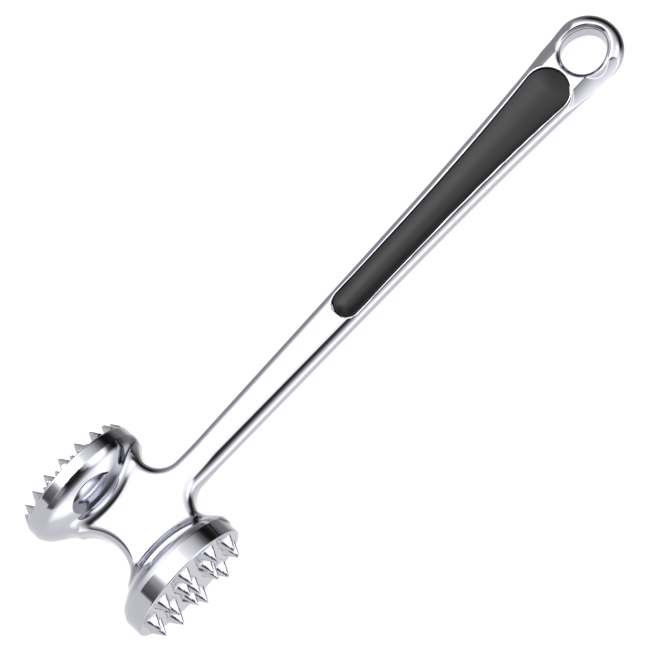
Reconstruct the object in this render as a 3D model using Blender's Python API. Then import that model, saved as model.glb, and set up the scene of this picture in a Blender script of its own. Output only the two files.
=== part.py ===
"""Meat mallet: a cast head, shank and hanging eye in one piece, with a two-layer grip in each side.

The design frame has +X from the head to the hanging eye, +Y towards the fine face and +Z out of the front.
One empty then lays the mallet on its back, on the rims of its two discs and the end of its eye.
"""
import math

import bmesh
import bpy
from mathutils import Matrix

MM = 0.001

# Head: two discs with domed backs, turned about the Y axis.
DISC_RADIUS = 26.8 * MM
FINE_FACE_Y = 30.6 * MM
COARSE_FACE_Y = 29.5 * MM
FACE_EDGE_RADIUS = 0.7 * MM
FACE_EDGE_STEPS = 3
BACK_START_RADIUS = 8.0 * MM
FINE_BACK = (13.7 * MM, 0.0095 / MM)
COARSE_BACK = (12.3 * MM, 0.0065 / MM)
BACK_ROLL = 7.7e-6 / MM**3
BACK_STEPS = 8
FINE_BAND_EDGE_Y = 25.8 * MM
COARSE_BAND_EDGE_Y = 22.5 * MM
CHAMFER_WIDTH = 1.2 * MM
LATHE_SEGMENTS = 56

# Spikes: four-sided points, all turned alike about their own axes.
SPIKE_TURN = math.radians(20.0)
COARSE_RINGS = ((0.0, 1, 0.0), (11.0 * MM, 5, 36.0), (21.25 * MM, 10, 18.0))
COARSE_SPIKE_HALF_BASE = 3.1 * MM
COARSE_SPIKE_HEIGHT = 6.1 * MM
FINE_RINGS = ((0.0, 1, 0.0), (8.0 * MM, 6, 0.0), (16.0 * MM, 12, 15.0), (24.0 * MM, 18, 10.0))
FINE_SPIKE_HALF_BASE = 2.5 * MM
FINE_SPIKE_HEIGHT = 4.9 * MM
SPIKE_TRIM_RADIUS = 26.3 * MM
SPIKE_ROOT_DEPTH = 0.6 * MM

# Web, shank and handle: one plan outline with rounded edges.
WEB_HALF_THICKNESS = 8.5 * MM
HANDLE_HALF_THICKNESS = 5.6 * MM
WEB_END_X = 12.0 * MM
SHANK_START_X = 42.0 * MM
TAPER_CUTS = 8
EDGE_ROUNDING = 4.4 * MM
EDGE_SEGMENTS = 4
WAIST_X = -8.2 * MM
WAIST_ARC_RADIUS = 18.5 * MM
WAIST_ARC_END_Y = 16.0 * MM
WAIST_ARC_POINTS = 7
WEB_SIDE_Y = 23.9 * MM
NECK_FILLET_RADIUS = 8.7 * MM
NECK_FILLET_CENTRE = (30.4 * MM, 15.4 * MM)
NECK_FILLET_START = math.radians(165.6)
NECK_FILLET_END = math.radians(270.0)
NECK_FILLET_POINTS = 8
SHANK_HALF_WIDTH = 6.65 * MM
SHANK_TAPER = 0.0185
HANDLE_FLARE = 0.945 * MM
HANDLE_FLARE_START_X = 110.0 * MM
HANDLE_FLARE_LENGTH = 100.0 * MM
HANDLE_POINTS = 16
EYE_CENTRE_X = 258.6 * MM
EYE_OUTER_RADIUS = 14.1 * MM
EYE_OUTER_ROUNDING = EDGE_ROUNDING
EYE_ARC_START = math.radians(104.0)
EYE_ARC_POINTS = 12

# Hanging eye: an egg-shaped hole with eased rims.
HOLE_CENTRE_X = 256.4 * MM
HOLE_HALF_LENGTH = 9.9 * MM
HOLE_HALF_WIDTH = 8.45 * MM
HOLE_EGG = 0.10
HOLE_RIM = 1.5 * MM
HOLE_POINTS = 32
HOLE_RIM_STEPS = 3

# Grip pockets and what they hold, front and rear alike.
POCKET_START_X = 113.8 * MM
POCKET_END_X = 243.4 * MM
POCKET_HALF_WIDTH = 5.7 * MM
POCKET_FLARE = 3.5 * MM
POCKET_FLARE_START_X = 122.0 * MM
POCKET_FLARE_LENGTH = 110.0 * MM
POCKET_FLARE_POWER = 2.6
POCKET_END_RADIUS = 9.4 * MM
POCKET_START_POINTS = 8
POCKET_SIDE_STEPS = 10
POCKET_END_POINTS = 10
SEPTUM_HALF_THICKNESS = 1.4 * MM
FIT_GAP = 0.3 * MM
CARRIER_INSET = 0.7 * MM
CARRIER_THICKNESS = 1.5 * MM
SKIN_EDGE_Z = 4.6 * MM
SKIN_SHOULDER_Z = 5.35 * MM
SKIN_CROWN_Z = 6.6 * MM
SKIN_SHOULDER_INSET = 0.9 * MM
SKIN_CROWN_INSET = 3.2 * MM
PEG_RADIUS = 1.4 * MM
PEG_X = (124.0 * MM, 178.0 * MM, 230.0 * MM)
PEG_SEGMENTS = 20

# Materials: base colour, roughness and metallic share.
CHROME = ((0.60, 0.60, 0.63), 0.06, 1.0)
SOFT_GRIP = ((0.022, 0.022, 0.024), 0.50, 0.0)
HARD_PLASTIC = ((0.05, 0.05, 0.055), 0.45, 0.0)
SHARP_ANGLE = math.radians(32.0)

# Rest pose: the turn that brings the rims and the end of the eye down onto one plane.
REST_REACH_X = EYE_CENTRE_X + EYE_OUTER_RADIUS - EYE_OUTER_ROUNDING
REST_REACH_Z = HANDLE_HALF_THICKNESS - EYE_OUTER_ROUNDING
REST_TILT = math.asin(
    (DISC_RADIUS - EYE_OUTER_ROUNDING) / math.hypot(REST_REACH_X, REST_REACH_Z)
) - math.atan2(REST_REACH_Z, REST_REACH_X)
OVERALL_START_X = -DISC_RADIUS
OVERALL_END_X = REST_REACH_X * math.cos(REST_TILT) + REST_REACH_Z * math.sin(REST_TILT) + EYE_OUTER_ROUNDING
SPIKE_TIP_OFFSET_Y = (FINE_FACE_Y + FINE_SPIKE_HEIGHT - COARSE_FACE_Y - COARSE_SPIKE_HEIGHT) / 2


def clear_scene():
    for item in list(bpy.data.objects):
        bpy.data.objects.remove(item, do_unlink=True)


def make_material(name, colour, roughness, metallic):
    material = bpy.data.materials.new(name)
    material.use_nodes = True
    shader = material.node_tree.nodes["Principled BSDF"]
    shader.inputs["Base Color"].default_value = (*colour, 1.0)
    shader.inputs["Roughness"].default_value = roughness
    shader.inputs["Metallic"].default_value = metallic
    return material


def make_rest_frame():
    """The empty that every piece hangs from, laid down and centred over the origin."""
    empty = bpy.data.objects.new("rest_frame", None)
    centre_x = (OVERALL_START_X + OVERALL_END_X) / 2
    place = Matrix.Translation((-centre_x, -SPIKE_TIP_OFFSET_Y, DISC_RADIUS))
    empty.matrix_world = place @ Matrix.Rotation(REST_TILT, 4, "Y")
    bpy.context.collection.objects.link(empty)
    return empty


def make_object(name, mesh_builder, parent, material=None):
    """A mesh object from a bmesh, with its faces turned outwards."""
    mesh = bpy.data.meshes.new(name)
    bmesh.ops.recalc_face_normals(mesh_builder, faces=mesh_builder.faces)
    mesh_builder.to_mesh(mesh)
    mesh_builder.free()
    piece = bpy.data.objects.new(name, mesh)
    bpy.context.collection.objects.link(piece)
    piece.parent = parent
    if material is not None:
        mesh.materials.append(material)
    return piece


def hide_cutter(cutter):
    cutter.hide_render = True
    cutter.display_type = "WIRE"


def combine(piece, tool, operation):
    """A Boolean on piece, whose tool stays in the scene as a guide."""
    modifier = piece.modifiers.new(tool.name, "BOOLEAN")
    modifier.operation = operation
    modifier.object = tool
    modifier.solver = "EXACT"
    hide_cutter(tool)


def stack_rings(rings):
    """A closed solid through a stack of rings with equal point counts, capped at both ends."""
    builder = bmesh.new()
    loops = [[builder.verts.new(point) for point in ring] for ring in rings]
    count = len(loops[0])
    for lower, upper in zip(loops, loops[1:]):
        for i in range(count):
            j = (i + 1) % count
            builder.faces.new((lower[i], lower[j], upper[j], upper[i]))
    builder.faces.new(reversed(loops[0]))
    builder.faces.new(loops[-1])
    return builder


def arc_points(centre, radius, start, end, count):
    """Points on a circle from one angle to another, both ends included."""
    steps = [start + (end - start) * i / (count - 1) for i in range(count)]
    return [(centre[0] + radius * math.cos(a), centre[1] + radius * math.sin(a)) for a in steps]


def back_y(radius, back):
    """How far out along Y a disc's domed back lies at one radius."""
    crown_y, bow = back
    return crown_y + bow * radius**2 + BACK_ROLL * radius**4


def disc_profile(face_y, band_y, back):
    """(distance along Y, radius) from the crown of a disc's back, over chamfer and band, to its face."""
    profile = []
    back_end_radius = DISC_RADIUS - CHAMFER_WIDTH
    for i in range(BACK_STEPS):
        radius = BACK_START_RADIUS + (back_end_radius - BACK_START_RADIUS) * i / (BACK_STEPS - 1)
        profile.append((back_y(radius, back), radius))
    profile.append((band_y, DISC_RADIUS))
    for i in range(FACE_EDGE_STEPS):
        a = math.pi / 2 * i / (FACE_EDGE_STEPS - 1)
        profile.append((face_y - FACE_EDGE_RADIUS * (1 - math.sin(a)),
                        DISC_RADIUS - FACE_EDGE_RADIUS * (1 - math.cos(a))))
    return profile


def make_disc(name, face_y, band_y, back, side, parent):
    """One disc, whose back starts inside the web."""
    rings = []
    for y, radius in disc_profile(face_y, band_y, back):
        turns = [2 * math.pi * (i + 0.5) / LATHE_SEGMENTS for i in range(LATHE_SEGMENTS)]
        rings.append([(radius * math.cos(a), side * y, radius * math.sin(a)) for a in turns])
    return make_object(name, stack_rings(rings), parent)


def add_spike(builder, x, z, face_y, side, half_base, height):
    """A four-sided point on a face, with a short root inside the disc."""
    root = []
    foot = []
    for sx, sz in ((-1, -1), (1, -1), (1, 1), (-1, 1)):
        corner_x = x + half_base * (sx * math.cos(SPIKE_TURN) + sz * math.sin(SPIKE_TURN))
        corner_z = z + half_base * (sz * math.cos(SPIKE_TURN) - sx * math.sin(SPIKE_TURN))
        foot.append(builder.verts.new((corner_x, side * face_y, corner_z)))
        root.append(builder.verts.new((corner_x, side * (face_y - SPIKE_ROOT_DEPTH), corner_z)))
    tip = builder.verts.new((x, side * (face_y + height), z))
    builder.faces.new(root)
    for i in range(4):
        j = (i + 1) % 4
        builder.faces.new((root[i], root[j], foot[j], foot[i]))
        builder.faces.new((foot[i], foot[j], tip))


def make_spikes(name, rings, face_y, side, half_base, height, parent):
    """All the spikes of one face, trimmed to the disc's edge."""
    builder = bmesh.new()
    for radius, count, first_angle in rings:
        for i in range(count):
            angle = math.radians(first_angle + 360.0 * i / count)
            x, z = radius * math.cos(angle), radius * math.sin(angle)
            add_spike(builder, x, z, face_y, side, half_base, height)
    spikes = make_object(name, builder, parent)
    trim_rings = []
    for y in (face_y - 2 * SPIKE_ROOT_DEPTH, face_y + 2 * height):
        turns = [2 * math.pi * (i + 0.5) / LATHE_SEGMENTS for i in range(LATHE_SEGMENTS)]
        trim_rings.append([
            (SPIKE_TRIM_RADIUS * math.cos(a), side * y, SPIKE_TRIM_RADIUS * math.sin(a)) for a in turns
        ])
    trim = make_object(name + "_trim", stack_rings(trim_rings), parent)
    combine(spikes, trim, "INTERSECT")
    return spikes


def handle_half_width(x):
    flare = max(0.0, (x - HANDLE_FLARE_START_X) / HANDLE_FLARE_LENGTH)
    return SHANK_HALF_WIDTH + SHANK_TAPER * (x - NECK_FILLET_CENTRE[0]) + HANDLE_FLARE * flare**3


def half_plan_outline():
    """The +Y half of the web, shank and handle outline, from the waist round to the end of the eye."""
    waist_centre = (WAIST_X - WAIST_ARC_RADIUS, 0.0)
    waist_angle = math.asin(WAIST_ARC_END_Y / WAIST_ARC_RADIUS)
    points = arc_points(waist_centre, WAIST_ARC_RADIUS, 0.0, waist_angle, WAIST_ARC_POINTS)
    fillet = arc_points(NECK_FILLET_CENTRE, NECK_FILLET_RADIUS, NECK_FILLET_START, NECK_FILLET_END,
                        NECK_FILLET_POINTS)
    points += [(points[-1][0], WEB_SIDE_Y), (fillet[0][0], WEB_SIDE_Y)]
    points += fillet
    side_start = NECK_FILLET_CENTRE[0] + NECK_FILLET_RADIUS
    side_end = EYE_CENTRE_X + EYE_OUTER_RADIUS * math.cos(EYE_ARC_START)
    for i in range(HANDLE_POINTS):
        x = side_start + (side_end - side_start) * i / HANDLE_POINTS
        points.append((x, handle_half_width(x)))
    points += arc_points((EYE_CENTRE_X, 0.0), EYE_OUTER_RADIUS, EYE_ARC_START, 0.0, EYE_ARC_POINTS)
    return points


def half_thickness(x):
    """Half the depth of the casting at a place along the handle."""
    blend = min(1.0, max(0.0, (x - WEB_END_X) / (SHANK_START_X - WEB_END_X)))
    blend = blend * blend * (3 - 2 * blend)
    return WEB_HALF_THICKNESS + (HANDLE_HALF_THICKNESS - WEB_HALF_THICKNESS) * blend


def make_backbone(name, parent, material):
    """Web, shank, handle and eye: the outline extruded, its edges rounded, then thickened at the head."""
    half = half_plan_outline()
    outline = half + [(x, -y) for x, y in reversed(half[1:-1])]
    builder = bmesh.new()
    lower = [builder.verts.new((x, y, -HANDLE_HALF_THICKNESS)) for x, y in outline]
    upper = [builder.verts.new((x, y, HANDLE_HALF_THICKNESS)) for x, y in outline]
    builder.faces.new(lower)
    builder.faces.new(upper)
    for i in range(len(outline)):
        j = (i + 1) % len(outline)
        builder.faces.new((lower[i], lower[j], upper[j], upper[i]))
    bmesh.ops.recalc_face_normals(builder, faces=builder.faces)
    rims = [edge for edge in builder.edges if abs(edge.verts[0].co.z - edge.verts[1].co.z) < FIT_GAP]
    bmesh.ops.bevel(builder, geom=rims, offset=EDGE_ROUNDING, segments=EDGE_SEGMENTS, profile=0.5,
                    affect="EDGES", clamp_overlap=False)
    for i in range(TAPER_CUTS + 1):
        cut_x = WEB_END_X + (SHANK_START_X - WEB_END_X) * i / TAPER_CUTS
        geometry = builder.verts[:] + builder.edges[:] + builder.faces[:]
        bmesh.ops.bisect_plane(builder, geom=geometry, plane_co=(cut_x, 0, 0), plane_no=(1, 0, 0))
    for vert in builder.verts:
        vert.co.z *= half_thickness(vert.co.x) / HANDLE_HALF_THICKNESS
    return make_object(name, builder, parent, material)


def hole_ring(z, offset):
    """The egg-shaped outline of the hanging eye at one depth."""
    ring = []
    for i in range(HOLE_POINTS):
        angle = 2 * math.pi * i / HOLE_POINTS
        width = (HOLE_HALF_WIDTH + offset) * (1 - HOLE_EGG * math.cos(angle))
        x = HOLE_CENTRE_X + (HOLE_HALF_LENGTH + offset) * math.cos(angle)
        ring.append((x, width * math.sin(angle), z))
    return ring


def make_eye_cutter(parent):
    """The hole's shape: straight through the middle, opening out over the rounded rims."""
    heights = []
    for i in range(HOLE_RIM_STEPS + 1):
        angle = math.pi / 2 * i / HOLE_RIM_STEPS
        z = HANDLE_HALF_THICKNESS - HOLE_RIM * (1 - math.sin(angle))
        heights.append((z, HOLE_RIM * (1 - math.cos(angle))))
    heights.append((HANDLE_HALF_THICKNESS + HOLE_RIM, HOLE_RIM))
    rings = [hole_ring(-z, offset) for z, offset in reversed(heights)]
    rings += [hole_ring(z, offset) for z, offset in heights]
    return make_object("eye_cutter", stack_rings(rings), parent)


def pocket_half_width(x):
    flare = max(0.0, (x - POCKET_FLARE_START_X) / POCKET_FLARE_LENGTH)
    return POCKET_HALF_WIDTH + POCKET_FLARE * flare**POCKET_FLARE_POWER


def pocket_outline(inset):
    """The grip pocket's outline, drawn in by inset."""
    lower_centre = POCKET_START_X + POCKET_HALF_WIDTH
    upper_centre = POCKET_END_X - POCKET_END_RADIUS
    half = arc_points((lower_centre, 0.0), POCKET_HALF_WIDTH - inset, math.pi, math.pi / 2,
                      POCKET_START_POINTS)
    for i in range(1, POCKET_SIDE_STEPS):
        x = lower_centre + (upper_centre - lower_centre) * i / POCKET_SIDE_STEPS
        half.append((x, pocket_half_width(x) - inset))
    half += arc_points((upper_centre, 0.0), POCKET_END_RADIUS - inset, math.pi / 2, 0.0,
                       POCKET_END_POINTS)
    return half + [(x, -y) for x, y in reversed(half[1:-1])]


def ring_at(outline, z):
    return [(x, y, z) for x, y in outline]


def make_pocket_cutter(name, side, parent):
    outline = pocket_outline(0.0)
    floor = ring_at(outline, side * SEPTUM_HALF_THICKNESS)
    mouth = ring_at(outline, side * 2 * HANDLE_HALF_THICKNESS)
    return make_object(name, stack_rings([floor, mouth]), parent)


def peg_ring(x, z, radius):
    turns = [2 * math.pi * i / PEG_SEGMENTS for i in range(PEG_SEGMENTS)]
    return [(x + radius * math.cos(a), radius * math.sin(a), z) for a in turns]


def make_posts(name, radius, z_from, z_to, parent):
    """One post for each peg position, as a single tool."""
    builder = bmesh.new()
    for x in PEG_X:
        post = stack_rings([peg_ring(x, z_from, radius), peg_ring(x, z_to, radius)])
        mesh = bpy.data.meshes.new(name)
        post.to_mesh(mesh)
        post.free()
        builder.from_mesh(mesh)
        bpy.data.meshes.remove(mesh)
    return make_object(name, builder, parent)


def make_carrier(name, side, parent, material):
    """The hard plastic plate that stiffens a grip."""
    outline = pocket_outline(CARRIER_INSET)
    inner = side * (SEPTUM_HALF_THICKNESS + FIT_GAP)
    outer = side * (SEPTUM_HALF_THICKNESS + FIT_GAP + CARRIER_THICKNESS)
    rings = [ring_at(outline, inner), ring_at(outline, outer)]
    return make_object(name, stack_rings(rings), parent, material)


def make_skin(name, side, parent, material):
    """The soft grip: a crowned pad over its carrier."""
    base = SEPTUM_HALF_THICKNESS + CARRIER_THICKNESS + 2 * FIT_GAP
    edge = pocket_outline(FIT_GAP)
    rings = [
        ring_at(edge, side * base),
        ring_at(edge, side * SKIN_EDGE_Z),
        ring_at(pocket_outline(FIT_GAP + SKIN_SHOULDER_INSET), side * SKIN_SHOULDER_Z),
        ring_at(pocket_outline(FIT_GAP + SKIN_CROWN_INSET), side * SKIN_CROWN_Z),
    ]
    return make_object(name, stack_rings(rings), parent, material)


def make_casting(parent, material):
    """Backbone, discs and spikes joined, then the eye, pockets and peg holes cut."""
    casting = make_backbone("mallet_casting", parent, material)
    faces = (
        ("fine", FINE_FACE_Y, FINE_BAND_EDGE_Y, FINE_BACK, 1,
         FINE_RINGS, FINE_SPIKE_HALF_BASE, FINE_SPIKE_HEIGHT),
        ("coarse", COARSE_FACE_Y, COARSE_BAND_EDGE_Y, COARSE_BACK, -1,
         COARSE_RINGS, COARSE_SPIKE_HALF_BASE, COARSE_SPIKE_HEIGHT),
    )
    for label, face_y, band_y, back, side, rings, half_base, height in faces:
        disc = make_disc(label + "_disc", face_y, band_y, back, side, parent)
        spikes = make_spikes(label + "_spikes", rings, face_y, side, half_base, height, parent)
        combine(disc, spikes, "UNION")
        combine(casting, disc, "UNION")
    combine(casting, make_eye_cutter(parent), "DIFFERENCE")
    for label, side in (("front", 1), ("rear", -1)):
        combine(casting, make_pocket_cutter(label + "_pocket", side, parent), "DIFFERENCE")
    reach = 2 * SEPTUM_HALF_THICKNESS
    combine(casting, make_posts("peg_holes", PEG_RADIUS + FIT_GAP, -reach, reach, parent), "DIFFERENCE")
    return casting


def make_grips(parent, plastic, soft):
    """Two carriers that snap together through the handle, and the soft skin on each."""
    carrier_outer = SEPTUM_HALF_THICKNESS + FIT_GAP + CARRIER_THICKNESS
    front = make_carrier("front_grip_carrier", 1, parent, plastic)
    rear = make_carrier("rear_grip_carrier", -1, parent, plastic)
    pegs = make_posts("snap_pegs", PEG_RADIUS, -carrier_outer + FIT_GAP, carrier_outer - FIT_GAP, parent)
    combine(front, pegs, "UNION")
    sockets = make_posts("peg_sockets", PEG_RADIUS + FIT_GAP, -2 * carrier_outer, 0.0, parent)
    combine(rear, sockets, "DIFFERENCE")
    make_skin("front_grip_skin", 1, parent, soft)
    make_skin("rear_grip_skin", -1, parent, soft)


def smooth_round_faces():
    for item in bpy.data.objects:
        if item.type == "MESH":
            item.data.shade_smooth()
            item.data.set_sharp_from_angle(angle=SHARP_ANGLE)


def build():
    clear_scene()
    chrome = make_material("polished_chrome", *CHROME)
    soft = make_material("soft_grip", *SOFT_GRIP)
    plastic = make_material("hard_plastic", *HARD_PLASTIC)
    rest_frame = make_rest_frame()
    make_casting(rest_frame, chrome)
    make_grips(rest_frame, plastic, soft)
    smooth_round_faces()


build()
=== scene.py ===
"""Studio scene for the meat mallet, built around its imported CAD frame.

The chrome casting and the two grip skins are modelled as distance fields in the design frame, in
millimetres: +X runs from the head to the hanging eye, +Y towards the fine face and +Z out of the front.
Dual contouring turns each field into a mesh that keeps its sharp edges, and one rest matrix lays the
result over the CAD nodes.
"""

import math

import bpy
import numpy as np
from mathutils import Matrix, Vector


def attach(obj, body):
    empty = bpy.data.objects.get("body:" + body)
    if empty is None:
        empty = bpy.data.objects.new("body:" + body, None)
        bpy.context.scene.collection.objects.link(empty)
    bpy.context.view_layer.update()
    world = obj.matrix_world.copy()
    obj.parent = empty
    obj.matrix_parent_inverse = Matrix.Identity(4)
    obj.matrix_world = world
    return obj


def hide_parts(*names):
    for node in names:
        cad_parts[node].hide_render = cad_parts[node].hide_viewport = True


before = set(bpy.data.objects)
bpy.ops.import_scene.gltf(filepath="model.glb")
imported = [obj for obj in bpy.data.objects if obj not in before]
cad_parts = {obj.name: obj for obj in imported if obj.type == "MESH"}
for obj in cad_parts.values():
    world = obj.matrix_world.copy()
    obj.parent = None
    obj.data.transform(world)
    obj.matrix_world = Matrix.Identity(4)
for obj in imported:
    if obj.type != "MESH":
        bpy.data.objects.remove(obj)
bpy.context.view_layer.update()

MM = 0.001

# Rest placement: the design frame laid down on the rims and the end of the eye.
REST_SHIFT = Vector((-0.12257783, 0.00005, 0.0268))
REST_TILT = math.radians(4.532813)
REST = Matrix.Translation(REST_SHIFT) @ Matrix.Rotation(REST_TILT, 4, "Y")

# Head: two discs with domed backs, turned about the Y axis. Pairs are (coarse disc, fine disc).
DISC_RADIUS = 26.8
FINE_FACE_Y = 30.6
COARSE_FACE_Y = 29.5
FACE_EDGE_RADIUS = 0.7
BACK_CROWN_Y = (12.3, 13.7)
BACK_BOW = (0.0065, 0.0095)
BACK_ROLL = 7.7e-6
BAND_EDGE_Y = (22.5, 25.8)
BAND_CHAMFER = math.radians(26.0)
BAND_EDGE_RADIUS = 0.4

# Spikes: four-sided points with softened edges, all turned alike, as rings of (radius, count, first angle).
COARSE_RINGS = ((0.0, 1, 0.0), (11.0, 5, 36.0), (21.25, 10, 18.0))
COARSE_SPIKE = (3.1, 6.1)
FINE_RINGS = ((0.0, 1, 0.0), (8.0, 6, 0.0), (16.0, 12, 15.0), (24.0, 18, 10.0))
FINE_SPIKE = (2.5, 4.9)
SPIKE_TURN = math.radians(20.0)
SPIKE_SQUARENESS = 5.0
SPIKE_TRIM_RADIUS = 26.3
SPIKE_ROOT_FILLET = 0.15
SPIKE_REACH = 1.5

# Web, shank and handle: one plan outline with rounded edges.
WEB_HALF_THICKNESS = 8.4
HANDLE_HALF_THICKNESS = 5.6
WEB_END_X = 12.0
SHANK_START_X = 42.0
WEB_EDGE_RADIUS = 3.8
HANDLE_EDGE_RADIUS = 5.4
WAIST_X = -8.4
WAIST_ARC_RADIUS = 18.5
WEB_LOWER_X = -15.0
WEB_UPPER_X = 25.2
WEB_SIDE_Y = 22.5
NECK_X = 30.4
NECK_FILLET_RADIUS = 8.7
SHANK_HALF_WIDTH = 6.65
SHANK_TAPER = 0.0185
HANDLE_FLARE = 0.945
HANDLE_FLARE_START_X = 110.0
HANDLE_FLARE_LENGTH = 100.0
EYE_BLEND_START_X = 236.0
EYE_CENTRE_X = 258.6
EYE_OUTER_RADIUS = 14.1
HEAD_FILLET = 4.5

# Hanging eye: an egg-shaped hole with an eased rim.
HOLE_CENTRE_X = 256.4
HOLE_HALF_LENGTH = 9.9
HOLE_HALF_WIDTH = 8.45
HOLE_EGG = 0.10
HOLE_RIM = 0.7
TINY = 1e-9

# Land around the hole and the pocket, and the side facets that fall away from it.
RIM_SLOPE = math.radians(40.0)
EYE_LAND = 1.9
LIP_LAND = 0.85
LAND_WALL_SLOPE = 2.5
FACET_SLOPE = 0.7
FACET_BOW = 0.04
FACET_START_Y = 7.6
FACET_LIFT = 4.0
FACET_ROOT_RADIUS = 0.15
RIDGE_RADIUS = 0.3
RIDGE_START_X = 215.0
RIDGE_FULL_X = 240.0
FACET_END_SPAN = (250.0, 272.0)

# Grip pockets, the skins in them and the peg holes between them.
POCKET_START_X = 113.8
POCKET_HALF_WIDTH = 5.7
POCKET_FLARE = 3.5
POCKET_FLARE_START_X = 122.0
POCKET_FLARE_LENGTH = 110.0
POCKET_FLARE_POWER = 2.6
POCKET_ROUND_X = 233.3
POCKET_LIP_RADIUS = 0.45
SEPTUM_HALF_THICKNESS = 1.4
PEG_HOLE_RADIUS = 1.7
PEG_X = (124.0, 178.0, 230.0)
GRIP_REACH = 3.0
SKIN_GAP = 0.2
SKIN_BASE_Z = 3.5
SKIN_CROWN_Z = 6.7
SKIN_EDGE_RADIUS = 0.5
SKIN_EDGE_DROP = 0.25
SKIN_EDGE_FLAT = 0.5

# Meshing: each grid stretch is (start, end, step), and the casting's steps are named.
CASTING_STEPS = {"fine": 0.47, "middle": 0.8, "far": 2.0}
CASTING_X = ((-28.0, 34.0, "middle"), (34.0, 112.0, "far"), (112.0, 120.0, "middle"),
             (120.0, 232.0, "far"), (232.0, 274.0, "fine"))
CASTING_Y = ((-36.5, -21.5, "fine"), (-21.5, -14.0, "middle"), (-14.0, 14.0, "fine"),
             (14.0, 21.5, "middle"), (21.5, 36.5, "fine"))
CASTING_Z = ((-27.6, -20.0, "fine"), (-20.0, -7.0, "middle"), (-7.0, 7.0, "fine"),
             (7.0, 20.0, "middle"), (20.0, 27.6, "fine"))
SKIN_X = ((112.0, 122.0, 0.4), (122.0, 230.0, 1.5), (230.0, 245.0, 0.4))
SKIN_Y = ((-11.0, 11.0, 0.4),)
SKIN_Z = ((3.0, 7.4, 0.4),)
GRADIENT_STEP = 0.01
SHORTEST_GRADIENT = 1e-12
ROOT_MARGIN = 0.05
CORNER_PULL = 0.35
CREASE_COSINE = math.cos(math.radians(30.0))
QEF_CUTOFF = 0.08
ROOT_STEPS = 4
FAR = 50.0
CELLS_AROUND_EDGE = ((-1, -1), (0, -1), (0, 0), (-1, 0))

# Materials: noise runs mostly between NOISE_LOW and NOISE_HIGH. Roughness and colour pairs are (low, high).
NOISE_LOW = 0.3
NOISE_HIGH = 0.7
CLOUD_DETAIL = 4.0
SMEAR_DETAIL = 5.0
GRAIN_DETAIL = 2.0
CHROME_COLOURS = ((0.485, 0.485, 0.535), (0.515, 0.515, 0.565))
CHROME_CLOUD_SCALE = 38.0
CHROME_SMEAR_SCALE = 90.0
CHROME_SMEAR_GRAIN = 0.6
CHROME_SMEAR_ROUGHNESS = (0.012, 0.03)
BUFFING_STRETCH = (25.0, 900.0, 900.0)
BUFFING_ROUGHNESS = (0.0, 0.012)
BUFFING_BUMP = (0.03, 0.00002)
RUBBER_COLOURS = ((0.0065, 0.0065, 0.0070), (0.0100, 0.0100, 0.0108))
RUBBER_CLOUD_SCALE = 55.0
RUBBER_PATCH_SCALE = 130.0
RUBBER_ROUGHNESS = (0.27, 0.33)
RUBBER_SHINE = 0.3
RUBBER_GRAIN_SCALE = 5200.0
RUBBER_BUMP = (0.12, 0.00008)
PLASTIC_GREYS = (0.035, 0.055)
PLASTIC_CLOUD_SCALE = 80.0
PLASTIC_TEXTURE_SCALE = 2600.0
PLASTIC_ROUGHNESS = (0.38, 0.52)
PLASTIC_BUMP = (0.2, 0.00005)
FLOOR_GREYS = (0.34, 0.36)
FLOOR_CLOUD_SCALE = 3.0
WHITE = (1.0, 1.0, 1.0, 1.0)

# Camera, in the design frame and in metres.
CAMERA_POSITION = Vector((-0.0234, -0.2536, 1.0321))
CAMERA_FORWARD = Vector((0.1228, 0.2392, -0.9632))
CAMERA_UP = Vector((0.7224, 0.6439, 0.2520))
CAMERA_LENS = 154.9
CAMERA_SENSOR = 36.0
CAMERA_CLIP_END = 100.0

# Studio: each profile lists (angle from straight back along the view in degrees, brightness).
WORLD_STRENGTH = 1.12
KEY_POSITION = Vector((-0.3, 0.5, 1.8))
KEY_SIZE = 1.6
KEY_POWER = 6.0
FLOOR_SIZE = 40.0
FLOOR_GLOW = 0.78
DOME_RADIUS = 4.0
DOME_RINGS = 32
DOME_TURNS = 64
DOME_POLE_GUARD = 1e-4
DOME_PEAK = 4.5
TOWARDS_EYE = ((0, 1.5), (20, 2.0), (37, 1.75), (49, 1.3), (63, 0.9), (78, 0.22), (87, 0.03), (93, 0.01),
               (108, 0.03), (123, 0.26), (139, 0.32), (155, 0.78), (170, 1.0))
TOWARDS_HEAD = ((0, 1.5), (24, 1.5), (37, 0.7), (49, 0.24), (62, 0.11), (65.5, 0.3), (67, 0.98), (107, 1.0),
                (180, 0.95))
TOWARDS_FINE = ((0, 1.5), (10, 2.4), (24, 4.0), (60, 4.0), (70, 2.4), (89, 1.06), (102, 0.6), (114, 0.42),
                (135, 0.42), (165, 0.9))
TOWARDS_COARSE = ((0, 1.5), (8, 0.40), (16, 0.08), (24, 0.02), (33, 0.07), (41, 0.17), (58, 0.9), (68, 1.5),
                  (80, 2.2), (92, 2.0), (100, 1.2), (131, 0.95), (180, 0.95))
ENDS_SPAN = (-0.3, 0.3)
FINE_SPAN = (0.62, 0.99)
COARSE_SPAN = (0.45, 0.85)
PANEL_DIRECTION = (0.725, -0.425, 0.542)
PANEL_EDGE_COSINE = (math.cos(math.radians(24.0)), math.cos(math.radians(9.0)))
PANEL_BRIGHTNESS = 2.1


def rounded_edge(a, b, radius):
    """Where two solids overlap, with the edge between them rounded."""
    outside = np.hypot(np.maximum(a + radius, 0.0), np.maximum(b + radius, 0.0))
    return np.minimum(np.maximum(a, b), -radius) + outside


def rounded_union(a, b, radius):
    """Two solids joined, with the inside corner between them filled."""
    return -rounded_edge(-a, -b, radius)


def smooth_step(x, start, end):
    t = np.clip((x - start) / (end - start), 0.0, 1.0)
    return t * t * (3.0 - 2.0 * t)


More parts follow.
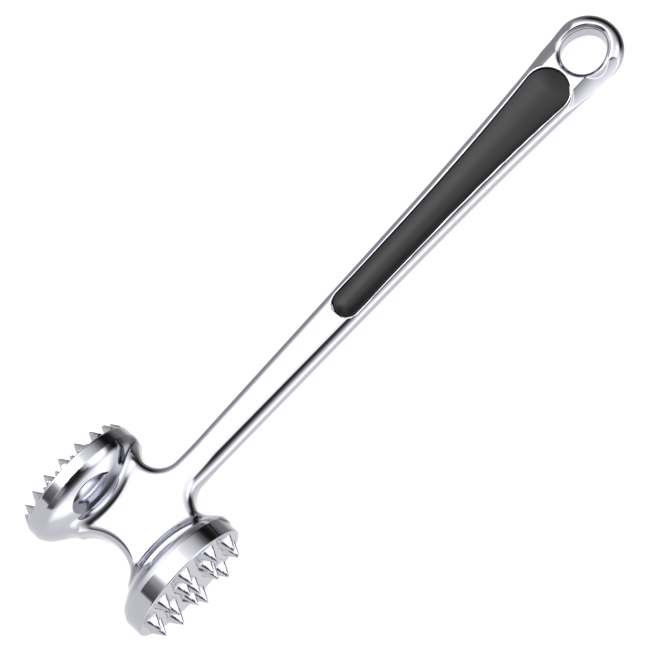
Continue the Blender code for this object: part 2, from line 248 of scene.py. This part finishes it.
def spool_distance(x, y, z):
    """Both discs: a domed back, a chamfer, a band and a flat face."""
    along = np.abs(y)
    radius = np.hypot(x, z)
    crown_y, bow, band_y = (np.where(y > 0.0, fine, coarse)
                            for coarse, fine in (BACK_CROWN_Y, BACK_BOW, BAND_EDGE_Y))
    reach = np.minimum(radius, DISC_RADIUS)
    dome_y = crown_y + bow * reach**2 + BACK_ROLL * reach**4
    slope = 2.0 * bow * reach + 4.0 * BACK_ROLL * reach**3
    back = (dome_y + slope * (radius - reach) - along) / np.hypot(1.0, slope)
    out = radius - DISC_RADIUS
    chamfer = out * math.cos(BAND_CHAMFER) + (band_y - along) * math.sin(BAND_CHAMFER)
    side = np.maximum(rounded_edge(back, chamfer, BAND_EDGE_RADIUS), out)
    face_y = np.where(y > 0.0, FINE_FACE_Y, COARSE_FACE_Y)
    return rounded_edge(side, along - face_y, FACE_EDGE_RADIUS)


def spike_distance(x, height, z, rings, spike):
    """The spikes of one face, where height is measured out from that face."""
    half_base, top = spike
    slope = math.hypot(top, half_base)
    turn_cosine, turn_sine = math.cos(SPIKE_TURN), math.sin(SPIKE_TURN)
    distance = np.full(x.shape, FAR)
    for radius, count, first_angle in rings:
        for i in range(count):
            angle = math.radians(first_angle + 360.0 * i / count)
            dx, dz = x - radius * math.cos(angle), z - radius * math.sin(angle)
            u = np.abs(dx * turn_cosine - dz * turn_sine)
            v = np.abs(dx * turn_sine + dz * turn_cosine)
            across = (u**SPIKE_SQUARENESS + v**SPIKE_SQUARENESS) ** (1.0 / SPIKE_SQUARENESS)
            distance = np.minimum(distance, (top * across + half_base * (height - top)) / slope)
    return np.maximum(distance, np.hypot(x, z) - SPIKE_TRIM_RADIUS)


def head_distance(x, y, z):
    """The spool with its spikes."""
    distance = spool_distance(x, y, z)
    for side, face_y, rings, spike in ((1, FINE_FACE_Y, FINE_RINGS, FINE_SPIKE),
                                       (-1, COARSE_FACE_Y, COARSE_RINGS, COARSE_SPIKE)):
        height = side * y - face_y
        near = height > -SPIKE_REACH
        if near.any():
            spikes = spike_distance(x[near], height[near], z[near], rings, spike)
            distance[near] = rounded_union(distance[near], spikes, SPIKE_ROOT_FILLET)
    return distance


def handle_half_width(x):
    flare = np.maximum(0.0, (x - HANDLE_FLARE_START_X) / HANDLE_FLARE_LENGTH)
    side = SHANK_HALF_WIDTH + SHANK_TAPER * (x - NECK_X) + HANDLE_FLARE * flare**3
    return side + (EYE_OUTER_RADIUS - side) * smooth_step(x, EYE_BLEND_START_X, EYE_CENTRE_X)


def plan_distance(x, y):
    """The outline of web, shank, handle and eye, seen from the front."""
    side = np.abs(y)
    strip = side - handle_half_width(x)
    eye = np.hypot(x - EYE_CENTRE_X, side) - EYE_OUTER_RADIUS
    neck_y = SHANK_HALF_WIDTH + NECK_FILLET_RADIUS
    neck = NECK_FILLET_RADIUS - np.hypot(x - NECK_X, side - neck_y)
    neck = np.where(side > neck_y, np.maximum(neck, x - WEB_UPPER_X), neck)
    neck = np.maximum(neck, side - WEB_SIDE_Y)
    upper = np.where(x < NECK_X, neck, np.where(x < EYE_CENTRE_X, strip, eye))
    waist = WAIST_ARC_RADIUS - np.hypot(x - WAIST_X + WAIST_ARC_RADIUS, side)
    return np.maximum(upper, np.maximum(waist, WEB_LOWER_X - x))


def backbone_distance(x, y, z):
    thinning = smooth_step(x, WEB_END_X, SHANK_START_X)
    half_thickness = WEB_HALF_THICKNESS + (HANDLE_HALF_THICKNESS - WEB_HALF_THICKNESS) * thinning
    edge = WEB_EDGE_RADIUS + (HANDLE_EDGE_RADIUS - WEB_EDGE_RADIUS) * thinning
    return rounded_edge(plan_distance(x, y), np.abs(z) - half_thickness, edge)


def hole_distance(x, y):
    """The egg-shaped hole of the hanging eye, seen from the front."""
    u = (x - HOLE_CENTRE_X) / HOLE_HALF_LENGTH
    width = HOLE_HALF_WIDTH * (1.0 - HOLE_EGG * np.clip(u, -1.0, 1.0))
    v = y / width
    reach = np.sqrt(u * u + v * v) + TINY
    steepness = np.hypot(u / HOLE_HALF_LENGTH, v / width) / reach + TINY
    return (reach - 1.0) / steepness


def pocket_half_width(x):
    flare = np.maximum(0.0, (x - POCKET_FLARE_START_X) / POCKET_FLARE_LENGTH)
    return POCKET_HALF_WIDTH + POCKET_FLARE * flare**POCKET_FLARE_POWER


def pocket_distance(x, y):
    """The outline of a grip pocket, seen from the front, with its upper end tangent to its sides."""
    start = POCKET_START_X + POCKET_HALF_WIDTH
    flare = (POCKET_ROUND_X - POCKET_FLARE_START_X) / POCKET_FLARE_LENGTH
    slope = POCKET_FLARE * POCKET_FLARE_POWER / POCKET_FLARE_LENGTH * flare**(POCKET_FLARE_POWER - 1.0)
    radius = float(pocket_half_width(POCKET_ROUND_X)) * math.hypot(1.0, slope)
    centre = POCKET_ROUND_X + radius * slope / math.hypot(1.0, slope)
    side = np.abs(y) - pocket_half_width(x)
    lower = np.hypot(x - start, y) - POCKET_HALF_WIDTH
    upper = np.hypot(x - centre, y) - radius
    return np.where(x < start, lower, np.where(x > POCKET_ROUND_X, upper, side))


def facet_distance(x, y, z):
    """The raised ring and lip, and the side facets that fall away from them and fade down the handle."""
    height = np.abs(z) - HANDLE_HALF_THICKNESS
    hole = hole_distance(x, y)
    outside = np.minimum(hole - EYE_LAND, pocket_distance(x, y) - LIP_LAND)
    wall = (height + LAND_WALL_SLOPE * outside) / math.hypot(1.0, LAND_WALL_SLOPE)
    faded = 1.0 - smooth_step(x, RIDGE_START_X, RIDGE_FULL_X) + smooth_step(x, *FACET_END_SPAN)
    across = np.abs(y) - FACET_START_Y
    fall = FACET_SLOPE * across + FACET_BOW * np.maximum(across, 0.0)**2
    facet = (height + fall - FACET_LIFT * faded) / math.hypot(1.0, FACET_SLOPE)
    outer = rounded_union(wall, facet, FACET_ROOT_RADIUS)
    rim = height * math.cos(RIM_SLOPE) + (EYE_LAND - hole) * math.sin(RIM_SLOPE)
    return np.maximum(outer, rim)


def casting_distance(x, y, z):
    """The whole chrome casting."""
    distance = backbone_distance(x, y, z)
    near_head = x < SHANK_START_X
    if near_head.any():
        head = head_distance(x[near_head], y[near_head], z[near_head])
        distance[near_head] = rounded_union(distance[near_head], head, HEAD_FILLET)
    near_grip = x > POCKET_START_X - GRIP_REACH
    if near_grip.any():
        gx, gy, gz = x[near_grip], y[near_grip], z[near_grip]
        grip = rounded_edge(distance[near_grip], facet_distance(gx, gy, gz), RIDGE_RADIUS)
        grip = rounded_edge(grip, -hole_distance(gx, gy), HOLE_RIM)
        pocket = np.maximum(pocket_distance(gx, gy), SEPTUM_HALF_THICKNESS - np.abs(gz))
        grip = rounded_edge(grip, -pocket, POCKET_LIP_RADIUS)
        for peg_x in PEG_X:
            grip = np.maximum(grip, PEG_HOLE_RADIUS - np.hypot(gx - peg_x, gy))
        distance[near_grip] = grip
    return distance


def skin_distance(x, y, z):
    """The front grip skin: crowned across, its edge level with the lip around it."""
    width = pocket_half_width(np.clip(x, POCKET_START_X, POCKET_ROUND_X))
    handle = handle_half_width(x) - HANDLE_EDGE_RADIUS
    fall = np.clip(width - handle, 0.0, HANDLE_EDGE_RADIUS - SKIN_EDGE_FLAT)
    edge_z = HANDLE_HALF_THICKNESS - HANDLE_EDGE_RADIUS + np.sqrt(HANDLE_EDGE_RADIUS**2 - fall**2)
    edge_z = edge_z - SKIN_EDGE_DROP
    plan = pocket_distance(x, y) + SKIN_GAP
    share = np.clip(1.0 + plan / width, 0.0, 1.0)
    top = SKIN_CROWN_Z - (SKIN_CROWN_Z - edge_z) * share**2
    skin = rounded_edge(plan, z - top, SKIN_EDGE_RADIUS)
    return np.maximum(skin, SKIN_BASE_Z - z)


def ruler(*stretches):
    """Grid lines along one axis: each stretch is (start, end, step)."""
    lines = []
    for start, end, step in stretches:
        count = max(1, round((end - start) / step))
        lines.append(np.linspace(start, end, count, endpoint=False))
    lines.append(np.array([stretches[-1][1]]))
    return np.concatenate(lines)


def sample(field, lines):
    """The field at every grid corner, one slab at a time."""
    xs, ys, zs = lines
    values = np.empty((len(xs), len(ys), len(zs)))
    gy, gz = np.meshgrid(ys, zs, indexing="ij")
    for i, x in enumerate(xs):
        values[i] = field(np.full(gy.size, x), gy.ravel(), gz.ravel()).reshape(gy.shape)
    return values


def gradient(field, points):
    """Unit normals of the field at the points."""
    result = np.empty_like(points)
    for axis in range(3):
        step = np.zeros(3)
        step[axis] = GRADIENT_STEP
        ahead, behind = points + step, points - step
        result[:, axis] = field(*ahead.T) - field(*behind.T)
    return result / (np.linalg.norm(result, axis=1, keepdims=True) + SHORTEST_GRADIENT)


def crossing_points(field, low, high, low_value, high_value):
    """Where the surface crosses each grid edge."""
    inside = low_value < 0.0
    start, end = low.copy(), high.copy()
    start_value, end_value = low_value.copy(), high_value.copy()
    for _ in range(ROOT_STEPS):
        share = start_value / (start_value - end_value)
        share = np.clip(share, ROOT_MARGIN, 1.0 - ROOT_MARGIN)[:, None]
        middle = start + (end - start) * share
        value = field(*middle.T)
        same = (value < 0.0) == inside
        start = np.where(same[:, None], middle, start)
        start_value = np.where(same, value, start_value)
        end = np.where(same[:, None], end, middle)
        end_value = np.where(same, end_value, value)
    share = (start_value / (start_value - end_value))[:, None]
    return start + (end - start) * share


def crossed_edges(values, axis, side_axes):
    """Grid edges along one axis that the surface crosses, with the field at their two ends."""
    low, high = [slice(None)] * 3, [slice(None)] * 3
    low[axis], high[axis] = slice(None, -1), slice(1, None)
    start_values, end_values = values[tuple(low)], values[tuple(high)]
    index = np.argwhere((start_values < 0.0) != (end_values < 0.0))
    for k in side_axes:
        index = index[(index[:, k] > 0) & (index[:, k] < values.shape[k] - 1)]
    return index, start_values[tuple(index.T)], end_values[tuple(index.T)]


def cells_around(index, side_axes, cells):
    """The numbers of the four cells around each grid edge."""
    around = []
    for shift in CELLS_AROUND_EDGE:
        cell = index.copy()
        for k, step in zip(side_axes, shift):
            cell[:, k] += step
        around.append(np.ravel_multi_index(tuple(cell.T), tuple(cells)))
    return around


def contour(field, lines):
    """Dual contouring: vertices, quads and corner normals of the field's surface."""
    values = sample(field, lines)
    cells = np.array(values.shape) - 1
    quads = []
    samples = []
    for axis in range(3):
        side_axes = ((axis + 1) % 3, (axis + 2) % 3)
        index, start_value, end_value = crossed_edges(values, axis, side_axes)
        start = np.stack([lines[k][index[:, k]] for k in range(3)], axis=1)
        end = start.copy()
        end[:, axis] = lines[axis][index[:, axis] + 1]
        points = crossing_points(field, start, end, start_value, end_value)
        normals = gradient(field, points)
        around = cells_around(index, side_axes, cells)
        quad = np.stack(around, axis=1)
        quads.append(np.where((start_value < 0.0)[:, None], quad, quad[:, ::-1]))
        samples.append((np.concatenate(around), np.tile(points, (4, 1)), np.tile(normals, (4, 1))))
    cell_ids, points, normals = (np.concatenate(parts) for parts in zip(*samples))
    used, slot = np.unique(cell_ids, return_inverse=True)
    faces = np.searchsorted(used, np.concatenate(quads))
    vertices = solve_vertices(lines, cells, used, slot, points, normals)
    return vertices, faces, corner_normals(field, vertices, faces)


def solve_vertices(lines, cells, used, slot, points, normals):
    """The point in each cell that best fits every tangent plane crossing it."""
    count = len(used)

    def total(weights):
        return np.bincount(slot, weights, count)

    number = total(np.ones(len(slot)))
    centre = np.stack([total(points[:, k]) / number for k in range(3)], axis=1)
    offset = ((points - centre[slot]) * normals).sum(axis=1)
    matrix = np.empty((count, 3, 3))
    for i in range(3):
        for j in range(3):
            matrix[:, i, j] = total(normals[:, i] * normals[:, j])
    right = np.stack([total(normals[:, k] * offset) for k in range(3)], axis=1)
    sizes, axes = np.linalg.eigh(matrix)
    keep = sizes > QEF_CUTOFF * sizes[:, -1:]
    inverse = np.where(keep, 1.0 / np.where(keep, sizes, 1.0), 0.0)
    along = np.einsum("nji,nj->ni", axes, right) * inverse
    vertices = centre + np.einsum("nij,nj->ni", axes, along)
    place = np.stack(np.unravel_index(used, tuple(cells)), axis=1)
    for k in range(3):
        vertices[:, k] = np.clip(vertices[:, k], lines[k][place[:, k]], lines[k][place[:, k] + 1])
    return vertices


def corner_normals(field, vertices, faces):
    """A smooth normal at each face corner, split only where the surface has a crease."""
    at_vertex = gradient(field, vertices)[faces.ravel()]
    centres = np.repeat(vertices[faces].mean(axis=1), 4, axis=0)
    corners = vertices[faces.ravel()]
    toward_face = gradient(field, corners + (centres - corners) * CORNER_PULL)
    agree = (at_vertex * toward_face).sum(axis=1) > CREASE_COSINE
    creased = np.zeros(len(vertices), bool)
    creased[faces.ravel()[~agree]] = True
    return np.where(creased[faces.ravel()][:, None], toward_face, at_vertex)


def make_mesh_object(name, vertices, faces, normals, material, mirror=False):
    """A mesh piece in the row frame; mirror turns the front piece into the rear one."""
    if mirror:
        vertices = vertices * (1.0, 1.0, -1.0)
        normals = normals.reshape(-1, 4, 3)[:, ::-1].reshape(-1, 3) * (1.0, 1.0, -1.0)
        faces = faces[:, ::-1]
    rotation = np.array(REST.to_3x3())
    placed = vertices * MM @ rotation.T + np.array(REST_SHIFT)
    mesh = bpy.data.meshes.new(name)
    mesh.from_pydata(placed.tolist(), [], faces.tolist())
    mesh.polygons.foreach_set("use_smooth", np.ones(len(faces), bool))
    mesh.normals_split_custom_set((normals @ rotation.T).tolist())
    mesh.materials.append(material)
    mesh.update()
    piece = bpy.data.objects.new(name, mesh)
    bpy.context.scene.collection.objects.link(piece)
    return piece


class Nodes:
    """A small helper for building one node tree."""

    def __init__(self, tree):
        self.tree = tree

    def add(self, kind, inputs=(), **settings):
        node = self.tree.nodes.new(kind)
        for key, value in settings.items():
            setattr(node, key, value)
        for key, value in dict(inputs).items():
            self.feed(node.inputs[key], value)
        return node

    def feed(self, socket, value):
        if isinstance(value, bpy.types.NodeSocket):
            self.tree.links.new(value, socket)
        else:
            socket.default_value = value

    def math(self, operation, *values):
        node = self.add("ShaderNodeMath", operation=operation)
        for socket, value in zip(node.inputs, values):
            self.feed(socket, value)
        return node.outputs[0]

    def ramp(self, value, stops):
        node = self.add("ShaderNodeValToRGB", {"Fac": value})
        elements = node.color_ramp.elements
        while len(elements) < len(stops):
            elements.new(0.5)
        for element, (position, colour) in zip(elements, stops):
            element.position = position
            element.color = (*colour, 1.0)
        return node.outputs["Color"]

    def noise(self, vector, scale, detail=3.0, roughness=0.5):
        node = self.add("ShaderNodeTexNoise", {"Vector": vector, "Scale": scale, "Detail": detail,
                                               "Roughness": roughness})
        return node.outputs["Fac"]

    def tint(self, noise, low_colour, high_colour):
        """A colour that drifts between two as the noise rises."""
        return self.ramp(noise, ((NOISE_LOW, low_colour), (NOISE_HIGH, high_colour)))

    def spread(self, noise, low, high):
        """A number that drifts between two as the noise rises."""
        node = self.add("ShaderNodeMapRange", {"Value": noise, "To Min": low, "To Max": high,
                                               "From Min": NOISE_LOW, "From Max": NOISE_HIGH})
        return node.outputs["Result"]

    def ease(self, value, start, end):
        """Rises smoothly from 0 to 1 as the value goes from start to end."""
        node = self.add("ShaderNodeMapRange", {"Value": value, "From Min": start, "From Max": end},
                        interpolation_type="SMOOTHSTEP")
        return node.outputs["Result"]

    def blend(self, factor, low, high):
        """A mix of two colours."""
        node = self.add("ShaderNodeMix", {"Factor": factor}, data_type="RGBA")
        low_socket, high_socket = (s for s in node.inputs if s.type == "RGBA")
        self.feed(low_socket, low)
        self.feed(high_socket, high)
        return next(s for s in node.outputs if s.type == "RGBA")

    def bump(self, height, strength, distance):
        node = self.add("ShaderNodeBump", {"Strength": strength, "Distance": distance, "Height": height})
        return node.outputs["Normal"]


def new_material(name):
    material = bpy.data.materials.new(name)
    material.use_nodes = True
    nodes = Nodes(material.node_tree)
    shader = material.node_tree.nodes["Principled BSDF"]
    coordinates = nodes.add("ShaderNodeTexCoord").outputs["Object"]
    return material, nodes, shader, coordinates


def grey(value):
    return (value, value, value)


def make_chrome():
    """Polished plate: faint cloudiness, buffing lines along the handle and a few smears of handling."""
    material, nodes, shader, place = new_material("polished_chrome_finish")
    shader.inputs["Metallic"].default_value = 1.0
    cloud = nodes.noise(place, CHROME_CLOUD_SCALE, CLOUD_DETAIL)
    nodes.feed(shader.inputs["Base Color"], nodes.tint(cloud, *CHROME_COLOURS))
    stretched = nodes.add("ShaderNodeMapping", {"Vector": place, "Scale": BUFFING_STRETCH})
    buffing = nodes.noise(stretched.outputs["Vector"], 1.0, GRAIN_DETAIL)
    smear = nodes.noise(place, CHROME_SMEAR_SCALE, SMEAR_DETAIL, CHROME_SMEAR_GRAIN)
    smeared = nodes.spread(smear, *CHROME_SMEAR_ROUGHNESS)
    buffed = nodes.spread(buffing, *BUFFING_ROUGHNESS)
    nodes.feed(shader.inputs["Roughness"], nodes.math("ADD", smeared, buffed))
    nodes.feed(shader.inputs["Normal"], nodes.bump(buffing, *BUFFING_BUMP))
    return material


def make_rubber():
    """Soft-touch grip: matt charcoal with a fine moulded grain and slightly polished patches."""
    material, nodes, shader, place = new_material("soft_grip_finish")
    cloud = nodes.noise(place, RUBBER_CLOUD_SCALE, CLOUD_DETAIL)
    nodes.feed(shader.inputs["Base Color"], nodes.tint(cloud, *RUBBER_COLOURS))
    patches = nodes.noise(place, RUBBER_PATCH_SCALE, CLOUD_DETAIL)
    nodes.feed(shader.inputs["Roughness"], nodes.spread(patches, *RUBBER_ROUGHNESS))
    shader.inputs["Specular IOR Level"].default_value = RUBBER_SHINE
    grain = nodes.noise(place, RUBBER_GRAIN_SCALE, GRAIN_DETAIL)
    nodes.feed(shader.inputs["Normal"], nodes.bump(grain, *RUBBER_BUMP))
    return material


def make_plastic():
    """Hard moulded carrier: dark plastic with a light spark-eroded texture."""
    material, nodes, shader, place = new_material("hard_plastic_finish")
    cloud = nodes.noise(place, PLASTIC_CLOUD_SCALE)
    nodes.feed(shader.inputs["Base Color"], nodes.tint(cloud, *map(grey, PLASTIC_GREYS)))
    texture = nodes.noise(place, PLASTIC_TEXTURE_SCALE)
    nodes.feed(shader.inputs["Roughness"], nodes.spread(texture, *PLASTIC_ROUGHNESS))
    nodes.feed(shader.inputs["Normal"], nodes.bump(texture, *PLASTIC_BUMP))
    return material


def make_floor_material():
    """A pale lit sweep: matt white that glows a little, so that shadows on it stay faint."""
    material, nodes, shader, place = new_material("floor_finish")
    cloud = nodes.noise(place, FLOOR_CLOUD_SCALE)
    nodes.feed(shader.inputs["Base Color"], nodes.tint(cloud, *map(grey, FLOOR_GREYS)))
    shader.inputs["Roughness"].default_value = 1.0
    shader.inputs["Specular IOR Level"].default_value = 0.0
    shader.inputs["Emission Color"].default_value = WHITE
    shader.inputs["Emission Strength"].default_value = FLOOR_GLOW
    return material


def make_floor():
    mesh = bpy.data.meshes.new("floor")
    half = FLOOR_SIZE / 2.0
    mesh.from_pydata([(-half, -half, 0.0), (half, -half, 0.0), (half, half, 0.0), (-half, half, 0.0)],
                     [], [(0, 1, 2, 3)])
    mesh.materials.append(make_floor_material())
    floor = bpy.data.objects.new("floor", mesh)
    bpy.context.scene.collection.objects.link(floor)
    floor.visible_glossy = False


def camera_axes():
    """The camera's right, up and backward axes in the row frame."""
    turn = REST.to_3x3()
    forward = (turn @ CAMERA_FORWARD).normalized()
    up = turn @ CAMERA_UP
    right = forward.cross(up).normalized()
    return right, right.cross(forward).normalized(), -forward


def make_camera():
    data = bpy.data.cameras.new("camera")
    data.lens = CAMERA_LENS
    data.sensor_width = CAMERA_SENSOR
    data.clip_end = CAMERA_CLIP_END
    camera = bpy.data.objects.new("camera", data)
    turn = Matrix(camera_axes()).transposed().to_4x4()
    camera.matrix_world = Matrix.Translation(REST @ CAMERA_POSITION) @ turn
    bpy.context.scene.collection.objects.link(camera)
    bpy.context.scene.camera = camera


def make_world():
    world = bpy.data.worlds.new("studio")
    world.use_nodes = True
    background = world.node_tree.nodes["Background"]
    background.inputs["Color"].default_value = WHITE
    background.inputs["Strength"].default_value = WORLD_STRENGTH
    bpy.context.scene.world = world


def dome_directions(nodes):
    """The direction, the polar angle over 180 degrees, and the azimuth's cosine and sine."""
    place = nodes.add("ShaderNodeTexCoord").outputs["Object"]
    direction = nodes.add("ShaderNodeVectorMath", {0: place}, operation="NORMALIZE").outputs["Vector"]
    x, y, z = nodes.add("ShaderNodeSeparateXYZ", {"Vector": direction}).outputs
    polar = nodes.math("DIVIDE", nodes.math("ARCCOSINE", z), math.pi)
    square = nodes.math("ADD", nodes.math("MULTIPLY", x, x), nodes.math("MULTIPLY", y, y))
    flat = nodes.math("MAXIMUM", nodes.math("SQRT", square), DOME_POLE_GUARD)
    return direction, polar, nodes.math("DIVIDE", x, flat), nodes.math("DIVIDE", y, flat)


def dome_colour(nodes):
    """Light by direction: each profile lights one side, and the azimuth blends between neighbours."""
    direction, polar, lengthways, sideways = dome_directions(nodes)

    def profile(stops):
        return nodes.ramp(polar, [(angle / 180.0, grey(value / DOME_PEAK)) for angle, value in stops])

    ends = nodes.blend(nodes.ease(lengthways, *ENDS_SPAN), profile(TOWARDS_HEAD), profile(TOWARDS_EYE))
    fine = nodes.blend(nodes.ease(sideways, *FINE_SPAN), ends, profile(TOWARDS_FINE))
    other_way = nodes.math("MULTIPLY", sideways, -1.0)
    coarse = nodes.blend(nodes.ease(other_way, *COARSE_SPAN), fine, profile(TOWARDS_COARSE))
    towards_panel = nodes.add("ShaderNodeVectorMath", {0: direction, 1: PANEL_DIRECTION},
                              operation="DOT_PRODUCT").outputs["Value"]
    panel = nodes.ease(towards_panel, *PANEL_EDGE_COSINE)
    return nodes.blend(panel, coarse, (*grey(PANEL_BRIGHTNESS / DOME_PEAK), 1.0))


def dome_material():
    material = bpy.data.materials.new("dome_light")
    material.use_nodes = True
    tree = material.node_tree
    tree.nodes.clear()
    nodes = Nodes(tree)
    emission = nodes.add("ShaderNodeEmission", {"Color": dome_colour(nodes), "Strength": DOME_PEAK})
    output = nodes.add("ShaderNodeOutputMaterial")
    tree.links.new(emission.outputs["Emission"], output.inputs["Surface"])
    return material


def dome_shape():
    """The vertices and faces of a sphere, in rings from pole to pole."""
    vertices, faces = [], []
    for i in range(DOME_RINGS + 1):
        polar = math.pi * i / DOME_RINGS
        width = DOME_RADIUS * math.sin(polar)
        height = DOME_RADIUS * math.cos(polar)
        for j in range(DOME_TURNS):
            azimuth = 2.0 * math.pi * j / DOME_TURNS
            vertices.append((width * math.cos(azimuth), width * math.sin(azimuth), height))
    for i in range(DOME_RINGS):
        ring, following = i * DOME_TURNS, (i + 1) * DOME_TURNS
        for j in range(DOME_TURNS):
            k = (j + 1) % DOME_TURNS
            faces.append((ring + j, ring + k, following + k, following + j))
    return vertices, faces


def make_dome():
    """A studio sky that only the shiny surfaces see, its own Z axis pointing back along the view."""
    vertices, faces = dome_shape()
    mesh = bpy.data.meshes.new("dome")
    mesh.from_pydata(vertices, [], faces)
    mesh.materials.append(dome_material())
    dome = bpy.data.objects.new("dome", mesh)
    view_back = -CAMERA_FORWARD.normalized()
    x_axis = (Vector((1.0, 0.0, 0.0)) - view_back * view_back.x).normalized()
    y_axis = view_back.cross(x_axis)
    turn = REST.to_3x3() @ Matrix((x_axis, y_axis, view_back)).transposed()
    dome.matrix_world = turn.to_4x4()
    dome.visible_camera = False
    dome.visible_diffuse = False
    dome.visible_shadow = False
    dome.visible_transmission = False
    bpy.context.scene.collection.objects.link(dome)


def make_key_light():
    data = bpy.data.lights.new("key", "AREA")
    data.shape = "DISK"
    data.size = KEY_SIZE
    data.energy = KEY_POWER
    key = bpy.data.objects.new("key", data)
    key.location = KEY_POSITION
    key.rotation_mode = "QUATERNION"
    key.rotation_quaternion = KEY_POSITION.to_track_quat("Z", "Y")
    key.visible_glossy = False
    bpy.context.scene.collection.objects.link(key)


def make_casting(chrome):
    steps = CASTING_STEPS
    lines = [ruler(*((start, end, steps[name]) for start, end, name in stretches))
             for stretches in (CASTING_X, CASTING_Y, CASTING_Z)]
    vertices, faces, normals = contour(casting_distance, lines)
    casting = make_mesh_object("chrome_casting", vertices, faces, normals, chrome)
    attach(casting, "root")
    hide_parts("mallet_casting")


def make_skins(rubber):
    lines = [ruler(*stretches) for stretches in (SKIN_X, SKIN_Y, SKIN_Z)]
    vertices, faces, normals = contour(skin_distance, lines)
    for side, mirror in (("front", False), ("rear", True)):
        skin = make_mesh_object(side + "_soft_skin", vertices, faces, normals, rubber, mirror)
        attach(skin, "root")
        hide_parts(side + "_grip_skin")


def finish_carriers(plastic):
    for node in ("front_grip_carrier", "rear_grip_carrier"):
        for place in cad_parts[node].material_slots:
            place.material = plastic


bpy.context.scene.view_settings.view_transform = "Standard"
make_casting(make_chrome())
make_skins(make_rubber())
finish_carriers(make_plastic())
make_floor()
make_world()
make_dome()
make_key_light()
make_camera()
